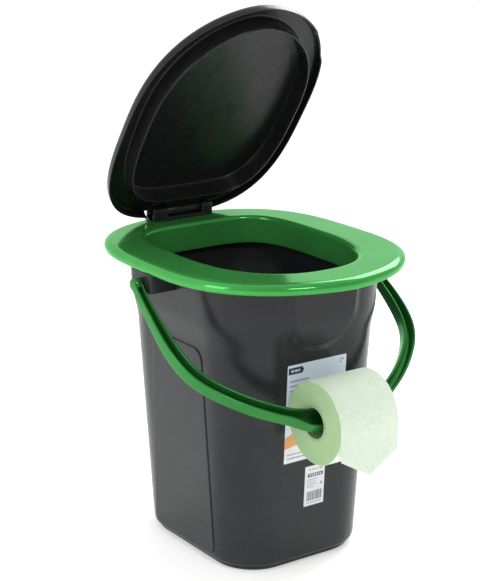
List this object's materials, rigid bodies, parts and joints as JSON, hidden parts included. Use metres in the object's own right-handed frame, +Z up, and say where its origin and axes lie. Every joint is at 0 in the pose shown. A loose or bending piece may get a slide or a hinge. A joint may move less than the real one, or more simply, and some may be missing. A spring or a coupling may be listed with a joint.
{
  "type": "portable camp toilet",
  "caption": "Tapered bucket toilet with lift-off seat, hinged lid standing half open, and a bail handle whose grip carries a toilet roll.",
  "frame": {"origin": "centre of the flat base, on the floor", "axes": "+Z up, -Y to the front where the roll hangs, +X to the right seen from the front; hinge axis and handle axis along X"},
  "size_m": [0.3712, 0.4485, 0.7111],
  "materials": {
    "bucket": "dark grey, semi-gloss moulded",
    "seat": "green, glossy moulded",
    "hinge_bracket": "black, semi-gloss moulded",
    "hinge_pin": "black rod",
    "lid": "black, semi-gloss moulded",
    "handle": "green, glossy moulded",
    "roll_core": "thin card tube",
    "paper_roll": "soft pale green tissue",
    "paper_tail": "soft pale green tissue sheet",
    "front_label": null,
    "barcode_label": null
  },
  "bodies": {
    "base": {"bucket": "bucket", "front_label": "front_label", "barcode_label": "barcode_label"},
    "seat_unit": {"seat": "seat", "hinge_bracket": "hinge_bracket", "hinge_pin": "hinge_pin"},
    "lid_unit": {"lid": "lid"},
    "handle_unit": {"handle": "handle"},
    "roll": {"roll_core": "roll_core", "paper_roll": "paper_roll"},
    "tail": {"paper_tail": "paper_tail"}
  },
  "joints": [
    {"name": "seat_lift", "type": "slide", "parent": "base", "child": "seat_unit", "axis": [0, 0, 1], "range_m": [0, 0.08]},
    {"name": "lid_hinge", "type": "hinge", "parent": "seat_unit", "child": "lid_unit", "pos_m": [0, 0.178, 0.4136], "axis": [-1, 0, 0], "range_deg": [-55.1, 40]},
    {"name": "handle_swing", "type": "hinge", "parent": "base", "child": "handle_unit", "pos_m": [0, 0.009, 0.372], "axis": [-1, 0, 0], "range_deg": [0, 27]},
    {"name": "roll_spin", "type": "hinge", "parent": "handle_unit", "child": "roll", "pos_m": [0, -0.19278, 0.22135], "axis": [-1, 0, 0], "continuous": true},
    {"name": "tail_hang", "type": "hinge", "parent": "handle_unit", "child": "tail", "pos_m": [0, -0.19278, 0.22135], "axis": [-1, 0, 0], "range_deg": [-28, 1]}
  ],
  "couplings": [
    {"joint": "tail_hang", "follows": "handle_swing", "ratio": -1}
  ]
}
